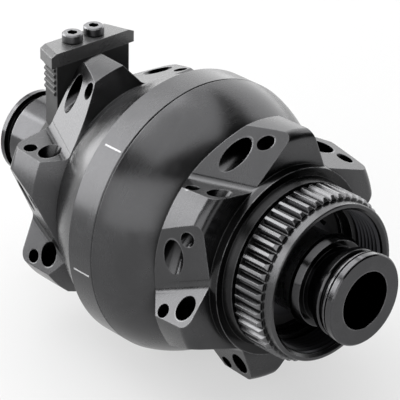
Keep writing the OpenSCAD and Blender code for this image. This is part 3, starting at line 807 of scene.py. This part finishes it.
class HUB_OT_finish_bearings(bpy.types.Operator):
    """Gives the axle, spacers, bearings and terminals their metal finishes"""

    bl_idname = "hub.finish_bearings"
    bl_label = "Finish axle and bearings"

    def execute(self, context):
        colours = context.scene.hub_finishes
        edge_tone, brass_edge_tone = 1.25, 1.3
        bright = toned(colours.aluminium, edge_tone)
        bright_brass = toned(colours.brass, brass_edge_tone)
        aluminium = machined_finish(
            "bare_aluminium", colours.aluminium, bright, roughness=0.3, swing=0.06,
            lines=4.0, grain=0.2, depth=0.000005, wear=0.5,
        )
        dress(aluminium, "axle", "disc_spacer", "plug_spacer")
        ground = machined_finish(
            "bearing_steel", colours.bearing, bright, roughness=0.14, swing=0.04,
            lines=9.0, grain=0.1, depth=0.000001, wear=0.4,
        )
        for side in ("disc", "plug"):
            for piece in ("inner_race", "outer_race", "balls"):
                dress(ground, f"{side}_bearing_{piece}")
        brass = machined_finish(
            "terminal_brass", colours.brass, bright_brass, roughness=0.28, swing=0.06,
            lines=4.0, grain=0.2, depth=0.000004, wear=0.5,
        )
        dress(brass, "terminal_blocks", "disc_bearing_cage", "plug_bearing_cage")
        return {"FINISHED"}


class HUB_OT_finish_generator(bpy.types.Operator):
    """Gives the stator, coil, leads and magnets their finishes"""

    bl_idname = "hub.finish_generator"
    bl_label = "Finish generator"

    def execute(self, context):
        colours = context.scene.hub_finishes
        iron = machined_finish(
            "soft_iron", colours.iron, colours.aluminium, roughness=0.45, swing=0.07,
            lines=3.0, grain=0.22, depth=0.000006, wear=0.35,
        )
        dress(iron, "stator_core", "disc_claw_plate", "plug_claw_plate", "flux_ring")
        dress(wound_finish("copper", colours.copper), "coil_winding")
        dress(sintered_finish("magnet_ferrite", colours.ferrite), "magnets")
        sleeves = sleeve_finish("wire_sleeve", colours.sleeve, colours.sleeve_other)
        dress(sleeves, "lead_wires")
        return {"FINISHED"}


class HUB_OT_cut_thread(bpy.types.Operator):
    """Builds the lockring thread inside the rotor-side mouth"""

    bl_idname = "hub.cut_thread"
    bl_label = "Cut lockring thread"

    def execute(self, context):
        mesh = thread_mesh(context.scene.hub_thread, SHELL_BOX[1][1])
        finish_piece("lockring_thread", mesh, plain_anodise(), "hub_shell")
        return {"FINISHED"}


class HUB_OT_print_ticks(bpy.types.Operator):
    """Prints two thin ticks across the plain band"""

    bl_idname = "hub.print_ticks"
    bl_label = "Print band ticks"

    def execute(self, context):
        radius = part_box("plug_side_shell")[1][0]
        mesh = ticks_mesh(context.scene.hub_ticks, radius)
        ink = ink_finish("band_ink", context.scene.hub_finishes.ink)
        finish_piece("band_ticks", mesh, ink, "hub_shell")
        return {"FINISHED"}


class HUB_OT_set_stage(bpy.types.Operator):
    """Sets the pale floor, the softboxes and the camera"""

    bl_idname = "hub.set_stage"
    bl_label = "Set stage"

    def execute(self, context):
        settings = context.scene.hub_studio
        add_camera(settings.lens)
        add_floor(settings)
        add_world()
        for name, (place, width, height) in SOFTBOXES.items():
            power = getattr(settings, f"{name}_power")
            add_softbox(f"{name}_softbox", power, place, width, height)
        context.scene.view_settings.view_transform = "Standard"
        return {"FINISHED"}


OPERATORS = (
    HUB_OT_finish_shells,
    HUB_OT_finish_end_caps,
    HUB_OT_finish_housing,
    HUB_OT_finish_bearings,
    HUB_OT_finish_generator,
    HUB_OT_cut_thread,
    HUB_OT_print_ticks,
    HUB_OT_set_stage,
)


class HUB_PT_build(bpy.types.Panel):
    """Lists the steps that dress the hub"""

    bl_idname = "HUB_PT_build"
    bl_label = "Hub dynamo"
    bl_space_type = "VIEW_3D"
    bl_region_type = "UI"
    bl_category = "Hub dynamo"

    def draw(self, context):
        for operator in OPERATORS:
            self.layout.operator(operator.bl_idname)


SETTINGS = {
    "hub_finishes": HubFinishes,
    "hub_thread": ThreadSizes,
    "hub_ticks": TickSizes,
    "hub_studio": StudioSettings,
}


def register():
    """Registers the settings, the operators and the panel."""
    for name, settings in SETTINGS.items():
        bpy.utils.register_class(settings)
        setattr(bpy.types.Scene, name, PointerProperty(type=settings))
    for operator in OPERATORS:
        bpy.utils.register_class(operator)
    bpy.utils.register_class(HUB_PT_build)


def unregister():
    """Takes all of them away again."""
    bpy.utils.unregister_class(HUB_PT_build)
    for operator in reversed(OPERATORS):
        bpy.utils.unregister_class(operator)
    for name, settings in SETTINGS.items():
        delattr(bpy.types.Scene, name)
        bpy.utils.unregister_class(settings)


def main():
    """Dresses the hub."""
    register()
    bpy.ops.hub.finish_shells()
    bpy.ops.hub.finish_end_caps()
    bpy.ops.hub.finish_housing()
    bpy.ops.hub.finish_bearings()
    bpy.ops.hub.finish_generator()
    bpy.ops.hub.cut_thread()
    bpy.ops.hub.print_ticks()
    bpy.ops.hub.set_stage()


if __name__ == "__main__":
    main()
